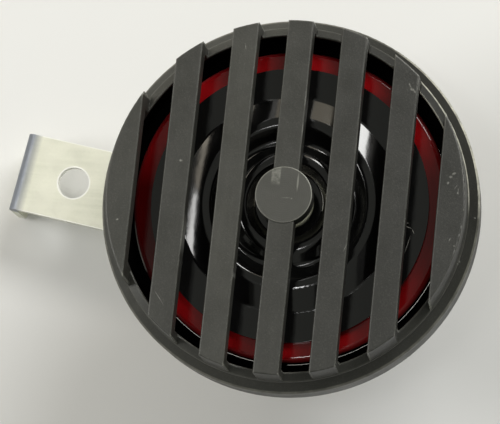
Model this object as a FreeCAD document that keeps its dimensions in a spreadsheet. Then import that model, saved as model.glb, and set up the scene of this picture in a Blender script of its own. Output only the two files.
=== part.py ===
import FreeCAD, Part
import os
import re
import Sketcher

# A disc horn for a car, in millimetres. The strap's fixing hole is the origin and +Z runs
# along the horn's own axis, from the mounting strap at the back to the grille at the front.
# The grille's bars run along Y. The strap leaves the axis at a small turn from -X.

doc = FreeCAD.newDocument("CarHorn")

# Every driving size: its name, its value and what it measures.
driving_sizes = (
    ("strap_thickness", "2.0", "steel strip of the mounting strap"),
    ("strap_width", "22.5", "width of the mounting strap"),
    ("strap_turn", "8.6", "degrees between the strap and the line across the bars"),
    ("hole_reach", "69.5", "from the fixing hole to the horn axis"),
    ("hole_dia", "9.0", "fixing hole, clearance for an 8 mm screw"),
    ("bend_reach", "17.0", "from the fixing hole to the outer face of the bent leg"),
    ("leg_length", "17.0", "bent leg, from the front face of the strap"),
    ("strap_bend", "3.0", "outer radius of the strap's bend"),
    ("strap_round", "8.0", "corner radius at the stud end of the strap"),
    ("leg_round", "2.5", "corner radius at the free end of the leg"),
    ("stud_dia", "8.0", "thread diameter of the fixing stud"),
    ("stud_hole_dia", "8.4", "hole for the stud in the strap and the housing"),
    ("stud_spare", "2.5", "stud end past its nut"),
    ("stud_chamfer", "0.8", "chamfer at the stud's end"),
    ("nut_flats", "13.0", "across flats of the stud's nut"),
    ("nut_height", "6.5", "height of the stud's nut"),
    ("nut_face_inset", "0.2", "round face of a nut, inside its flats"),
    ("lock_washer_dia", "14.8", "spring washer under the stud's nut"),
    ("lock_washer_height", "1.8", "height of the spring washer"),
    ("lock_washer_split", "1.6", "gap in the spring washer"),
    ("housing_depth", "41.3", "from the strap's front face to the housing's flange"),
    ("housing_sheet", "1.2", "pressed steel of the housing"),
    ("housing_wall_dia", "77.0", "outside of the housing just under its flange"),
    ("housing_draft", "0.4", "how far the housing's walls lean in towards the back"),
    ("housing_bend", "3.0", "outer radius of the housing's bends"),
    ("shoulder_bend", "2.0", "bend between the housing's shoulder and its coil well"),
    ("flange_bend", "1.0", "bend under the housing's flange"),
    ("small_bend", "1.5", "tighter bends of the pressed parts"),
    ("shoulder_height", "20.0", "from the strap's front face to the housing's shoulder"),
    ("well_dia", "52.0", "outside of the housing's coil well"),
    ("rear_rise", "4.0", "height of the raised seat round the stud"),
    ("seat_dia", "27.0", "flat of the raised seat round the stud"),
    ("seat_slope", "3.5", "width of the seat's sloping edge"),
    ("gasket_thickness", "0.6", "paper gasket, one each side of the diaphragm"),
    ("gasket_inset", "0.1", "inner edge of the gaskets, behind the clamp ring's"),
    ("diaphragm_sheet", "0.4", "spring steel of the diaphragm"),
    ("wave_height", "1.3", "height of the diaphragm's flexing wave"),
    ("wave_margin", "2.6", "from the gaskets' inner edge to the diaphragm's wave"),
    ("wave_width", "8.0", "radial width of the wave"),
    ("wave_slope", "2.4", "radial width of each of the wave's slopes"),
    ("clamp_dia", "83.6", "outside of the clamp ring"),
    ("clamp_width", "6.3", "radial width of the clamp ring"),
    ("clamp_sheet", "1.0", "pressed steel of the clamp ring"),
    ("clamp_lip", "2.2", "lip of the clamp ring folded under the flange"),
    ("rim_clearance", "0.1", "play of the clamped edges before the clamp ring's bends"),
    ("disc_dia", "73.4", "tone disc"),
    ("disc_sheet", "0.8", "pressed steel of the tone disc"),
    ("disc_lift", "1.5", "from the clamp ring's face to the tone disc's face"),
    ("disc_flat_dia", "57.6", "inside of the tone disc's flat rim"),
    ("crown_dia", "45.8", "outer edge of the tone disc's raised crown"),
    ("crown_width", "2.1", "flat top of the crown"),
    ("crown_rise", "2.3", "height of the crown above the flat rim"),
    ("valley_dia", "33.8", "foot of the tone disc's hub"),
    ("valley_drop", "0.8", "depth of the valley below the flat rim"),
    ("hub_dia", "26.4", "outer top edge of the tone disc's hub"),
    ("hub_rise", "2.2", "height of the hub above the flat rim"),
    ("hub_rim", "2.0", "width of the hub's top"),
    ("cup_dia", "18.0", "floor of the hub's cup"),
    ("cup_rise", "0.3", "height of the cup's floor above the flat rim"),
    ("disc_bend", "1.6", "bends of the tone disc, on its front"),
    ("hub_round", "2.6", "outer edge of the hub, on its front"),
    ("hub_bend", "1.1", "inner edge of the hub, on its front"),
    ("cup_bend", "0.8", "bend at the cup's floor, on its front"),
    ("spindle_dia", "6.0", "spindle through the armature and the tone disc"),
    ("spindle_play", "0.1", "play round the spindle, on the radius"),
    ("spindle_head_dia", "9.4", "head of the spindle"),
    ("spindle_head_height", "2.7", "height of the spindle's head"),
    ("spindle_spare", "0.4", "spindle end past its nut"),
    ("cup_washer_dia", "13.2", "washer in the hub's cup"),
    ("cup_washer_height", "1.2", "height of that washer"),
    ("spindle_nut_flats", "10.0", "across flats of the spindle's nut"),
    ("spindle_nut_height", "2.8", "height of the spindle's nut"),
    ("spacer_dia", "11.0", "spacer between the diaphragm and the tone disc"),
    ("core_dia", "16.0", "magnet core inside the coil"),
    ("core_height", "28.8", "magnet core above its seat"),
    ("magnet_gap", "0.9", "gap between the core and the armature"),
    ("armature_dia", "23.0", "armature"),
    ("armature_height", "7.0", "armature, with its striking flange"),
    ("striker_dia", "30.0", "flange of the armature that works the contact"),
    ("striker_height", "2.4", "height of that flange"),
    ("armature_hub_dia", "13.0", "hub between the armature and the diaphragm"),
    ("bobbin_height", "22.0", "coil bobbin"),
    ("bobbin_dia", "45.0", "flanges of the bobbin"),
    ("bobbin_wall", "1.2", "walls of the bobbin"),
    ("bobbin_play", "0.2", "play between the bobbin and the core"),
    ("winding_dia", "42.0", "outside of the winding"),
    ("retainer_dia", "29.0", "ring that holds the bobbin down"),
    ("retainer_sheet", "0.8", "spring steel of that ring"),
    ("channel_gap", "3.0", "open channel between the clamp ring and the grille's ring"),
    ("ring_width", "2.5", "radial width of the grille's ring"),
    ("flange_width", "2.7", "radial width of the grille's flange"),
    ("front_stand", "13.9", "from the clamp ring's face to the front of the bars"),
    ("ring_drop", "8.8", "from the front of the bars down to the ring's inner edge"),
    ("ring_slope", "1.3", "fall of the ring towards its outer edge"),
    ("ring_round", "0.35", "rounding of the ring's two edges"),
    ("step_drop", "1.0", "step down from the ring's outer edge to the flange"),
    ("flange_slope", "2.0", "fall of the flange towards its edge"),
    ("skirt_height", "8.0", "skirt below the flange's edge"),
    ("skirt_wall", "1.6", "wall of the skirt"),
    ("rim_round", "0.8", "rounding of the grille's outer edge"),
    ("bar_ledge", "0.6", "step of the ring's outer edge past the bars' ends"),
    ("bar_draft", "2.0", "degrees of draft on the bars' outer ends"),
    ("bar_pitch", "14.3", "from one bar to the next"),
    ("bar_width", "6.7", "width of a bar"),
    ("bar_depth", "4.6", "depth of a bar over the opening"),
    ("bar_root", "1.0", "bars' ends, sunk into the ring below its slope"),
    ("bar_round", "0.4", "rounding of the bars' front edges"),
    ("boss_dia", "14.8", "round boss on the middle bar"),
    ("boss_proud", "0.25", "how far the boss stands in front of the bar"),
    ("boss_height", "5.1", "height of the boss"),
    ("channel_wall", "1.4", "wall behind the ring's opening"),
    ("channel_floor", "1.4", "floor of the channel round the clamp ring"),
    ("clip_width", "5.6", "clips that hold the grille behind the clamp ring"),
    ("clip_grip", "1.6", "how far the clips reach behind the clamp ring"),
    ("clip_lead", "0.8", "sloping lead-in of a clip"),
    ("foot_width", "3.0", "feet behind the bars, which stand on the clamp ring"),
    ("foot_reach", "2.2", "how far the feet reach over the clamp ring"),
    ("clip_play", "0.1", "play between the clips and the clamp ring"),
    ("clip_jaw", "1.8", "thickness of the clips' jaws"),
    ("block_height", "7.8", "insulating block under the contacts"),
    ("stack_width", "12.0", "contact stack, across"),
    ("stack_reach", "28.2", "from the horn axis to the contact stack"),
    ("stack_depth", "6.6", "contact stack, along the radius"),
    ("spring_sheet", "0.4", "spring strip of the moving contact"),
    ("spring_width", "6.0", "width of the moving contact's arm"),
    ("tip_reach", "13.6", "from the horn axis to the spring's turned-up tip"),
    ("tip_gap", "0.3", "gap between the spring's tip and the striking flange"),
    ("contact_gap", "2.4", "height between the two contact arms"),
    ("anvil_sheet", "0.8", "steel strip of the fixed contact"),
    ("anvil_width", "7.0", "width of the fixed contact's arm"),
    ("anvil_reach", "18.4", "from the horn axis to the fixed contact's end"),
    ("anvil_wing", "13.6", "side wing of the fixed contact, over the adjusting screw"),
    ("wing_depth", "5.2", "the wing, along the radius"),
    ("point_dia", "3.6", "contact points"),
    ("point_reach", "20.6", "from the horn axis to the contact points"),
    ("cap_sheet", "1.0", "insulating plate on top of the contacts"),
    ("rivet_dia", "2.8", "rivets"),
    ("rivet_head_dia", "5.2", "heads of the rivets"),
    ("rivet_head", "1.1", "height of a rivet's head"),
    ("rivet_play", "0.1", "play round a rivet, on the radius"),
    ("rivet_spread", "3.6", "from the middle of the contact stack to its rivets"),
    ("adjuster_offset", "10.4", "adjusting screw, beside the contact stack"),
    ("adjuster_reach", "30.0", "adjusting screw, from the horn axis"),
    ("adjuster_dia", "4.0", "adjusting screw"),
    ("adjuster_tail", "4.5", "adjusting screw behind its bush"),
    ("adjuster_slot", "0.9", "screwdriver slot of the adjusting screw"),
    ("bush_dia", "6.2", "threaded bush of the adjusting screw"),
    ("bush_height", "4.6", "height of the bush"),
    ("bush_collar", "7.6", "collar of the bush behind the shoulder"),
    ("bush_collar_height", "1.0", "height of that collar"),
    ("terminal_reach", "28.5", "from the horn axis to the terminal block"),
    ("terminal_depth", "7.6", "terminal block, along the radius"),
    ("terminal_width", "21.0", "terminal block, across"),
    ("terminal_height", "8.0", "terminal block behind the shoulder"),
    ("terminal_round", "1.6", "corners of the terminal block"),
    ("collar_dia", "5.4", "insulating collars in the housing"),
    ("blade_width", "6.3", "terminal blade"),
    ("blade_sheet", "0.8", "thickness of a blade"),
    ("blade_length", "8.8", "blade behind the terminal block"),
    ("blade_spread", "5.4", "from the middle to a blade"),
    ("blade_play", "0.3", "play between a rivet's head and the standing blade"),
    ("pad_margin", "0.3", "insulating pad past the heads of the terminal rivets"),
    ("blade_hole_dia", "1.8", "catch hole of a blade"),
    ("blade_catch", "5.5", "from the terminal block to a blade's catch hole"),
    ("blade_chamfer", "1.2", "lead-in of a blade"),
    ("blade_bend", "1.0", "outer radius between a blade and its foot"),
)

sheet = doc.addObject("Spreadsheet::Sheet", "Sizes")
for row, (alias, value, meaning) in enumerate(driving_sizes, start=1):
    sheet.set(f"A{row}", meaning)
    sheet.set(f"B{row}", value)
    sheet.setAlias(f"B{row}", alias)
doc.recompute()

bar_count = 7
clip_count = 4
same_place = 0.02
pieces = []


def linked(formula):
    # Every size has an underscore in its name, which tells it from a function.
    return re.sub(r"\b([a-z]+(?:_[a-z]+)+)\b", r"Sizes.\1", formula)


def amount(formula):
    return float(sheet.evalExpression(linked(formula)))


def bind(target, path, formula):
    target.setExpression(path, linked(formula))


# Levels along the horn axis, from the back face of the strap.
strap_front = "strap_thickness"
core_seat = "(strap_thickness + housing_sheet)"
rear_level = "(strap_thickness + rear_rise)"
well_floor = f"({rear_level} + housing_sheet)"
shoulder_level = "(strap_thickness + shoulder_height)"
shoulder_floor = f"({shoulder_level} + housing_sheet)"
flange_under = "(strap_thickness + housing_depth)"
lower_gasket_under = f"({flange_under} + housing_sheet)"
diaphragm_under = f"({lower_gasket_under} + gasket_thickness)"
diaphragm_front = f"({diaphragm_under} + diaphragm_sheet)"
clamp_front = f"({diaphragm_front} + gasket_thickness + clamp_sheet)"
clamp_back = f"({flange_under} - clamp_sheet)"
disc_level = f"({clamp_front} + disc_lift)"
cup_floor = f"({disc_level} + cup_rise)"
front_level = f"({clamp_front} + front_stand)"
ring_level = f"({front_level} - ring_drop)"
flange_level = f"({ring_level} - ring_slope - step_drop)"
edge_level = f"({flange_level} - flange_slope)"
skirt_end = f"({edge_level} - skirt_height)"
pole_top = f"({core_seat} + core_height)"
armature_under = f"({pole_top} + magnet_gap)"
bobbin_top = f"({well_floor} + bobbin_height)"
spring_under = f"({shoulder_floor} + block_height)"
spring_front = f"({spring_under} + spring_sheet)"
anvil_under = f"({spring_front} + contact_gap)"
anvil_front = f"({anvil_under} + anvil_sheet)"
stack_front = f"({anvil_front} + cap_sheet)"
terminal_back = f"({shoulder_level} - terminal_height)"
blade_rivet_reach = "(terminal_reach + rivet_head_dia / 2 + pad_margin * 2)"
clamped_radius = "(clamp_dia / 2 - small_bend - rim_clearance)"

# Radii of the pieces that sit inside one another, from the clamp ring outwards and inwards.
clamp_bore = "(clamp_dia / 2 - clamp_width)"
gasket_bore = f"({clamp_bore} + gasket_inset)"
wave_foot = f"({gasket_bore} - wave_margin)"
ring_bore = "(clamp_dia / 2 + channel_gap)"
ring_edge = f"({ring_bore} + ring_width)"
rim_edge = f"({ring_edge} + flange_width)"
bar_end = f"({ring_edge} - bar_ledge)"

# The horn axis as seen from the fixing hole.
axis_across = "hole_reach * cos(strap_turn * 1deg)"
axis_along = "-hole_reach * sin(strap_turn * 1deg)"


def seat_on_axis(piece):
    bind(piece, "Placement.Base.x", axis_across)
    bind(piece, "Placement.Base.y", axis_along)


def finish_piece(piece, label, on_axis=True):
    piece.Label = label
    if on_axis:
        seat_on_axis(piece)
    pieces.append(piece)
    return piece


def pin(sketch, kind, geometry, point, formula):
    # Holds one coordinate of a sketch point at a formula's value.
    if formula == "0":
        axis = -1 if kind == "DistanceY" else -2
        sketch.addConstraint(Sketcher.Constraint("PointOnObject", geometry, point, axis))
        return
    held = Sketcher.Constraint(kind, -1, 1, geometry, point, amount(formula))
    place = sketch.addConstraint(held)
    bind(sketch, f"Constraints[{place}]", formula)


def hold_radius(sketch, geometry, formula):
    place = sketch.addConstraint(Sketcher.Constraint("Radius", geometry, amount(formula)))
    bind(sketch, f"Constraints[{place}]", formula)


def round_corner(sketch, side, formula):
    before = sketch.GeometryCount
    sketch.fillet(side, 2, amount(formula), True, True)
    for geometry in range(before, sketch.GeometryCount):
        if isinstance(sketch.Geometry[geometry], Part.ArcOfCircle):
            hold_radius(sketch, geometry, formula)


def draw_path(sketch, corners, closed):
    # A corner is two formulas, and a third where it is rounded.
    spots = [FreeCAD.Vector(amount(corner[0]), amount(corner[1]), 0) for corner in corners]
    first = sketch.GeometryCount
    count = len(corners)
    sides = count if closed else count - 1
    for side in range(sides):
        sketch.addGeometry(Part.LineSegment(spots[side], spots[(side + 1) % count]))
    for side in range(sides if closed else sides - 1):
        following = first + (side + 1) % sides
        sketch.addConstraint(Sketcher.Constraint("Coincident", first + side, 2, following, 1))
    for index, corner in enumerate(corners):
        starts_side = index < sides
        geometry = first + index if starts_side else first + index - 1
        point = 1 if starts_side else 2
        pin(sketch, "DistanceX", geometry, point, corner[0])
        pin(sketch, "DistanceY", geometry, point, corner[1])
    for index, corner in enumerate(corners):
        if len(corner) == 3:
            round_corner(sketch, first + (index - 1) % sides, corner[2])


def draw_circle(sketch, across, along, radius):
    centre = FreeCAD.Vector(amount(across), amount(along), 0)
    circle = Part.Circle(centre, FreeCAD.Vector(0, 0, 1), amount(radius))
    geometry = sketch.addGeometry(circle)
    pin(sketch, "DistanceX", geometry, 3, across)
    pin(sketch, "DistanceY", geometry, 3, along)
    hold_radius(sketch, geometry, radius)


def new_body(label):
    return doc.addObject("PartDesign::Body", label)


def new_sketch(body, name, role, level="0"):
    sketch = body.newObject("Sketcher::SketchObject", name)
    plane = [item for item in body.Origin.OriginFeatures if item.Role == role][0]
    sketch.AttachmentSupport = [(plane, "")]
    sketch.MapMode = "FlatFace"
    if level != "0":
        bind(sketch, "AttachmentOffset.Base.z", level)
    return sketch


def revolve(body, name, corners):
    sketch = new_sketch(body, name + "_section", "XZ_Plane")
    draw_path(sketch, corners, True)
    turning = body.newObject("PartDesign::Revolution", name)
    turning.Profile = sketch
    turning.ReferenceAxis = (sketch, ["V_Axis"])
    turning.Angle = 360
    body.Tip = turning
    return turning


def pad(body, name, sketch, length, downwards=False, middle=False):
    feature = body.newObject("PartDesign::Pad", name)
    feature.Profile = sketch
    feature.Reversed = downwards
    feature.Midplane = middle
    bind(feature, "Length", length)
    body.Tip = feature
    return feature


def pocket(body, name, sketch, length, upwards=False, middle=False):
    # A pocket runs against its sketch's normal unless it is turned upwards.
    feature = body.newObject("PartDesign::Pocket", name)
    feature.Profile = sketch
    feature.Reversed = upwards
    feature.Midplane = middle
    bind(feature, "Length", length)
    body.Tip = feature
    return feature


def turned(label, corners):
    body = new_body(label)
    revolve(body, "turning", corners)
    return finish_piece(body, label)


def plate(label, corners, holes, under, thickness):
    # A flat piece: its outline, its round holes, its underside and its thickness.
    body = new_body(label)
    sketch = new_sketch(body, "outline", "XY_Plane", under)
    draw_path(sketch, corners, True)
    for across, along, radius in holes:
        draw_circle(sketch, across, along, radius)
    pad(body, "thickness", sketch, thickness)
    return finish_piece(body, label)


def pressed(name, corners, thickness, side):
    # Sheet metal: one face of the sheet is drawn as a path, then thickened to one side.
    path = doc.addObject("Sketcher::SketchObject", name + "_path")
    path.Placement = FreeCAD.Placement(
        FreeCAD.Vector(0, 0, 0), FreeCAD.Rotation(FreeCAD.Vector(1, 0, 0), 90))
    draw_path(path, corners, False)
    section = doc.addObject("Part::Offset2D", name + "_section")
    section.Source = path
    section.Mode = "Skin"
    section.Join = "Intersection"
    section.Fill = True
    bind(section, "Value", f"{side} * {thickness}")
    turning = doc.addObject("Part::Revolution", name + "_turning")
    turning.Source = section
    turning.Axis = (0, 0, 1)
    turning.Angle = 360
    turning.Solid = True
    return turning


def cylinder(name, radius, height, under, across="0", along="0"):
    shape = doc.addObject("Part::Cylinder", name)
    bind(shape, "Radius", radius)
    bind(shape, "Height", height)
    bind(shape, "Placement.Base.z", under)
    if across != "0":
        bind(shape, "Placement.Base.x", across)
    if along != "0":
        bind(shape, "Placement.Base.y", along)
    return shape


def cut(name, base, tools):
    current = base
    for index, tool in enumerate(tools):
        step = doc.addObject("Part::Cut", f"{name}_cut_{index + 1}")
        step.Base = current
        step.Tool = tool
        current = step
    return current


def hex_nut(label, flats, height, bore, back, front_up):
    # The chamfer of the corners is on the free side: the front or the back.
    prism = doc.addObject("Part::Prism", label + "_hexagon")
    prism.Polygon = 6
    bind(prism, "Circumradius", f"{flats} / sqrt(3)")
    bind(prism, "Height", height)
    bind(prism, "Placement.Base.z", back)
    cone = doc.addObject("Part::Cone", label + "_chamfer")
    narrow = f"{flats} / 2 - nut_face_inset"
    wide = f"{narrow} + {height} * sqrt(3)"
    bind(cone, "Radius1", wide if front_up else narrow)
    bind(cone, "Radius2", narrow if front_up else wide)
    bind(cone, "Height", height)
    bind(cone, "Placement.Base.z", back)
    common = doc.addObject("Part::Common", label + "_body")
    common.Base = prism
    common.Tool = cone
    drill = cylinder(label + "_bore", bore, height + " * 3", f"{back} - {height}")
    return finish_piece(cut(label, common, [drill]), label)


def edge_names(shape, spots):
    # The edges whose middle lies on one of the given points.
    names = []
    for index, edge in enumerate(shape.Edges, start=1):
        middle = edge.CenterOfMass
        if any(middle.distanceToPoint(spot) < same_place for spot in spots):
            names.append(f"Edge{index}")
    return names


def edges_at_level(shape, level):
    # The flat edges that lie at one height.
    names = []
    for index, edge in enumerate(shape.Edges, start=1):
        box = edge.BoundBox
        if abs(box.ZMin - level) < same_place and abs(box.ZMax - level) < same_place:
            names.append(f"Edge{index}")
    return names


def dress_edges(body, kind, name, names, setting, formula):
    base = body.Tip
    feature = body.newObject(kind, name)
    feature.Base = (base, names)
    bind(feature, setting, formula)
    body.Tip = feature
    return feature


def fillet(body, name, names, radius):
    return dress_edges(body, "PartDesign::Fillet", name, names, "Radius", radius)


def make_bracket():
    body = new_body("mounting_bracket")
    strap_end = "(hole_reach + strap_width / 2)"
    leg_end = "(strap_thickness - leg_length)"
    side = new_sketch(body, "side_view", "XZ_Plane")
    draw_path(side, (
        ("-bend_reach", leg_end),
        ("-bend_reach", strap_front, "strap_bend"),
        (strap_end, strap_front),
        (strap_end, "0"),
        ("strap_thickness - bend_reach", "0", "strap_bend - strap_thickness"),
        ("strap_thickness - bend_reach", leg_end),
    ), True)
    pad(body, "strip", side, "strap_width", middle=True)
    holes = new_sketch(body, "hole_centres", "XY_Plane", strap_front)
    draw_circle(holes, "0", "0", "hole_dia / 2")
    draw_circle(holes, "hole_reach", "0", "stud_hole_dia / 2")
    pocket(body, "holes", holes, "strap_thickness * 2")
    doc.recompute()
    half = amount("strap_width / 2")
    ends = [FreeCAD.Vector(amount(strap_end), turn * half, amount("strap_thickness / 2"))
            for turn in (-1, 1)]
    fillet(body, "stud_end", edge_names(body.Shape, ends), "strap_round")
    doc.recompute()
    feet = [FreeCAD.Vector(amount("strap_thickness / 2 - bend_reach"), turn * half, amount(leg_end))
            for turn in (-1, 1)]
    fillet(body, "leg_end", edge_names(body.Shape, feet), "leg_round")
    body.Placement.Rotation = FreeCAD.Rotation(FreeCAD.Vector(0, 0, 1), 0)
    bind(body, "Placement.Rotation.Angle", "-strap_turn * 1deg")
    return finish_piece(body, "mounting_bracket", on_axis=False)


def make_lock_washer():
    body = new_body("spring_washer")
    back = "-lock_washer_height"
    revolve(body, "ring", (
        ("stud_hole_dia / 2", back),
        ("lock_washer_dia / 2", back),
        ("lock_washer_dia / 2", "0"),
        ("stud_hole_dia / 2", "0"),
    ))
    slit = new_sketch(body, "slit", "XY_Plane")
    draw_path(slit, (
        ("-lock_washer_split / 2", "stud_dia / 4"),
        ("lock_washer_split / 2", "stud_dia / 4"),
        ("lock_washer_split / 2", "lock_washer_dia"),
        ("-lock_washer_split / 2", "lock_washer_dia"),
    ), True)
    pocket(body, "split", slit, "lock_washer_height * 2")
    return finish_piece(body, "spring_washer")


def make_housing():
    wall = "housing_wall_dia / 2"
    well = "well_dia / 2"
    seat = "seat_dia / 2"
    shell = pressed("housing", (
        (clamped_radius, flange_under),
        (wall, flange_under, "flange_bend"),
        (f"{wall} - housing_draft", shoulder_level, "housing_bend"),
        (well, shoulder_level, "shoulder_bend"),
        (f"{well} - housing_draft", rear_level, "housing_bend"),
        (f"{seat} + seat_slope", rear_level, "small_bend"),
        (seat, strap_front, "small_bend"),
        ("stud_hole_dia / 2", strap_front),
    ), "housing_sheet", -1)
    under = f"{shoulder_level} - housing_sheet"
    deep = "housing_sheet * 3"
    rivet_hole = "rivet_dia / 2 + rivet_play"
    stack_middle = "stack_reach + stack_depth / 2"
    tools = [
        cylinder("rivet_hole_left", rivet_hole, deep, under, "-rivet_spread", stack_middle),
        cylinder("rivet_hole_right", rivet_hole, deep, under, "rivet_spread", stack_middle),
        cylinder("bush_hole", "bush_dia / 2", deep, under, "adjuster_offset", "adjuster_reach"),
        cylinder("collar_hole_left", "collar_dia / 2", deep, under,
                 "-blade_spread", "-" + blade_rivet_reach),
        cylinder("collar_hole_right", "collar_dia / 2", deep, under,
                 "blade_spread", "-" + blade_rivet_reach),
    ]
    return finish_piece(cut("housing", shell, tools), "housing")


def make_clamp_ring():
    radius = "clamp_dia / 2"
    ring = pressed("clamp", (
        (clamp_bore, clamp_front),
        (radius, clamp_front, "small_bend"),
        (radius, clamp_back, "small_bend"),
        (f"{radius} - clamp_lip", clamp_back),
    ), "clamp_sheet", -1)
    return finish_piece(ring, "clamp_ring")


def make_gasket(label, under):
    radius = clamped_radius
    return turned(label, (
        (gasket_bore, under),
        (radius, under),
        (radius, f"{under} + gasket_thickness"),
        (gasket_bore, f"{under} + gasket_thickness"),
    ))


def make_diaphragm():
    outer = wave_foot
    top = f"{diaphragm_front} + wave_height"
    disc = pressed("diaphragm", (
        (clamped_radius, diaphragm_front),
        (outer, diaphragm_front, "small_bend"),
        (f"{outer} - wave_slope", top, "small_bend"),
        (f"{outer} - wave_width + wave_slope", top, "small_bend"),
        (f"{outer} - wave_width", diaphragm_front, "small_bend"),
        ("spindle_dia / 2 + spindle_play", diaphragm_front),
    ), "diaphragm_sheet", 1)
    return finish_piece(disc, "diaphragm")


def make_tone_disc():
    # From its edge inwards: flat rim, crown, valley, hub and the cup for the washer.
    flat = disc_level
    crown = f"({flat} + crown_rise)"
    hub = "hub_dia / 2"
    disc = pressed("tone_disc", (
        ("disc_dia / 2", flat),
        ("disc_flat_dia / 2", flat, "disc_bend"),
        ("crown_dia / 2", crown, "disc_bend"),
        ("crown_dia / 2 - crown_width", crown, "disc_bend"),
        ("valley_dia / 2", f"{flat} - valley_drop", "disc_bend"),
        (hub, f"{flat} + hub_rise", "hub_round"),
        (f"{hub} - hub_rim", f"{flat} + hub_rise", "hub_bend"),
        ("cup_dia / 2", cup_floor, "cup_bend"),
        ("spindle_dia / 2 + spindle_play", cup_floor),
    ), "disc_sheet", 1)
    return finish_piece(disc, "tone_disc")


def make_spindle():
    shank = "spindle_dia / 2"
    head_front = f"({armature_under} + spindle_head_height + spindle_play * 4)"
    nut_back = f"({cup_floor} + cup_washer_height)"
    end = f"({nut_back} + spindle_nut_height + spindle_spare)"
    chamfer = "spindle_dia * 0.1"
    turned("spindle", (
        ("0", f"{head_front} - spindle_head_height"),
        ("spindle_head_dia / 2", f"{head_front} - spindle_head_height"),
        ("spindle_head_dia / 2", head_front),
        (shank, head_front),
        (shank, f"{end} - {chamfer}"),
        (f"{shank} - {chamfer}", end),
        ("0", end),
    ))
    turned("cup_washer", (
        (f"{shank} + spindle_play", cup_floor),
        ("cup_washer_dia / 2", cup_floor),
        ("cup_washer_dia / 2", nut_back, "cup_washer_height * 0.5"),
        (f"{shank} + spindle_play", nut_back),
    ))
    hex_nut("spindle_nut", "spindle_nut_flats", "spindle_nut_height", shank, nut_back, True)
    turned("spindle_spacer", (
        (f"{shank} + spindle_play", diaphragm_front),
        ("spacer_dia / 2", diaphragm_front),
        ("spacer_dia / 2", f"{cup_floor} - disc_sheet"),
        (f"{shank} + spindle_play", f"{cup_floor} - disc_sheet"),
    ))
    bore = f"({shank} + spindle_play)"
    recess = "(spindle_head_dia / 2 + spindle_play * 3)"
    flange_back = f"({armature_under} + armature_height - striker_height)"
    flange_front = f"({armature_under} + armature_height)"
    turned("armature", (
        (recess, armature_under),
        ("armature_dia / 2", armature_under, "small_bend * 0.4"),
        ("armature_dia / 2", flange_back),
        ("striker_dia / 2", flange_back),
        ("striker_dia / 2", flange_front, "small_bend * 0.4"),
        ("armature_hub_dia / 2", flange_front),
        ("armature_hub_dia / 2", diaphragm_under),
        (bore, diaphragm_under),
        (bore, head_front),
        (recess, head_front),
    ))


def make_magnet():
    nut_back = "(-lock_washer_height - nut_height)"
    stud_end = f"({nut_back} - stud_spare)"
    stud = "stud_dia / 2"
    core = "core_dia / 2"
    turned("pole_core", (
        ("0", stud_end),
        (f"{stud} - stud_chamfer", stud_end),
        (stud, f"{stud_end} + stud_chamfer"),
        (stud, core_seat),
        (core, core_seat),
        (core, pole_top, "small_bend * 0.5"),
        ("0", pole_top),
    ))
    hex_nut("mounting_nut", "nut_flats", "nut_height", stud, nut_back, False)
    bore = f"{core} + bobbin_play"
    drum = f"{bore} + bobbin_wall"
    lower = f"{well_floor} + bobbin_wall"
    upper = f"{bobbin_top} - bobbin_wall"
    turned("coil_bobbin", (
        (bore, well_floor),
        ("bobbin_dia / 2", well_floor),
        ("bobbin_dia / 2", lower),
        (drum, lower),
        (drum, upper),
        ("bobbin_dia / 2", upper),
        ("bobbin_dia / 2", bobbin_top),
        (bore, bobbin_top),
    ))
    turned("coil_winding", (
        (drum, lower),
        ("winding_dia / 2", lower),
        ("winding_dia / 2", upper),
        (drum, upper),
    ))
    turned("coil_retainer", (
        (core, bobbin_top),
        ("retainer_dia / 2", bobbin_top),
        ("retainer_dia / 2", f"{bobbin_top} + retainer_sheet"),
        (core, f"{bobbin_top} + retainer_sheet"),
    ))


def rivets(label, spots, under, front):
    # One rivet, from under its lower head's seat to over its upper head's seat, many places.
    section = doc.addObject("Sketcher::SketchObject", label + "_section")
    section.Placement = FreeCAD.Placement(
        FreeCAD.Vector(0, 0, 0), FreeCAD.Rotation(FreeCAD.Vector(1, 0, 0), 90))
    head = "rivet_head_dia / 2"
    shank = "rivet_dia / 2"
    draw_path(section, (
        ("0", f"{under} - rivet_head"),
        (head, f"{under} - rivet_head", "rivet_head * 0.6"),
        (head, under),
        (shank, under),
        (shank, front),
        (head, front),
        (head, f"{front} + rivet_head", "rivet_head * 0.6"),
        ("0", f"{front} + rivet_head"),
    ), True)
    copies = []
    for index, (across, along) in enumerate(spots, start=1):
        rivet = doc.addObject("Part::Revolution", f"{label}_{index}")
        rivet.Source = section
        rivet.Axis = (0, 0, 1)
        rivet.Angle = 360
        rivet.Solid = True
        bind(rivet, "Placement.Base.x", across)
        bind(rivet, "Placement.Base.y", along)
        copies.append(rivet)
    group = doc.addObject("Part::Compound", label)
    group.Links = copies
    return finish_piece(group, label)


def stack_outline(near, far, half):
    return ((f"-{half}", near), (half, near), (half, far), (f"-{half}", far))


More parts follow.
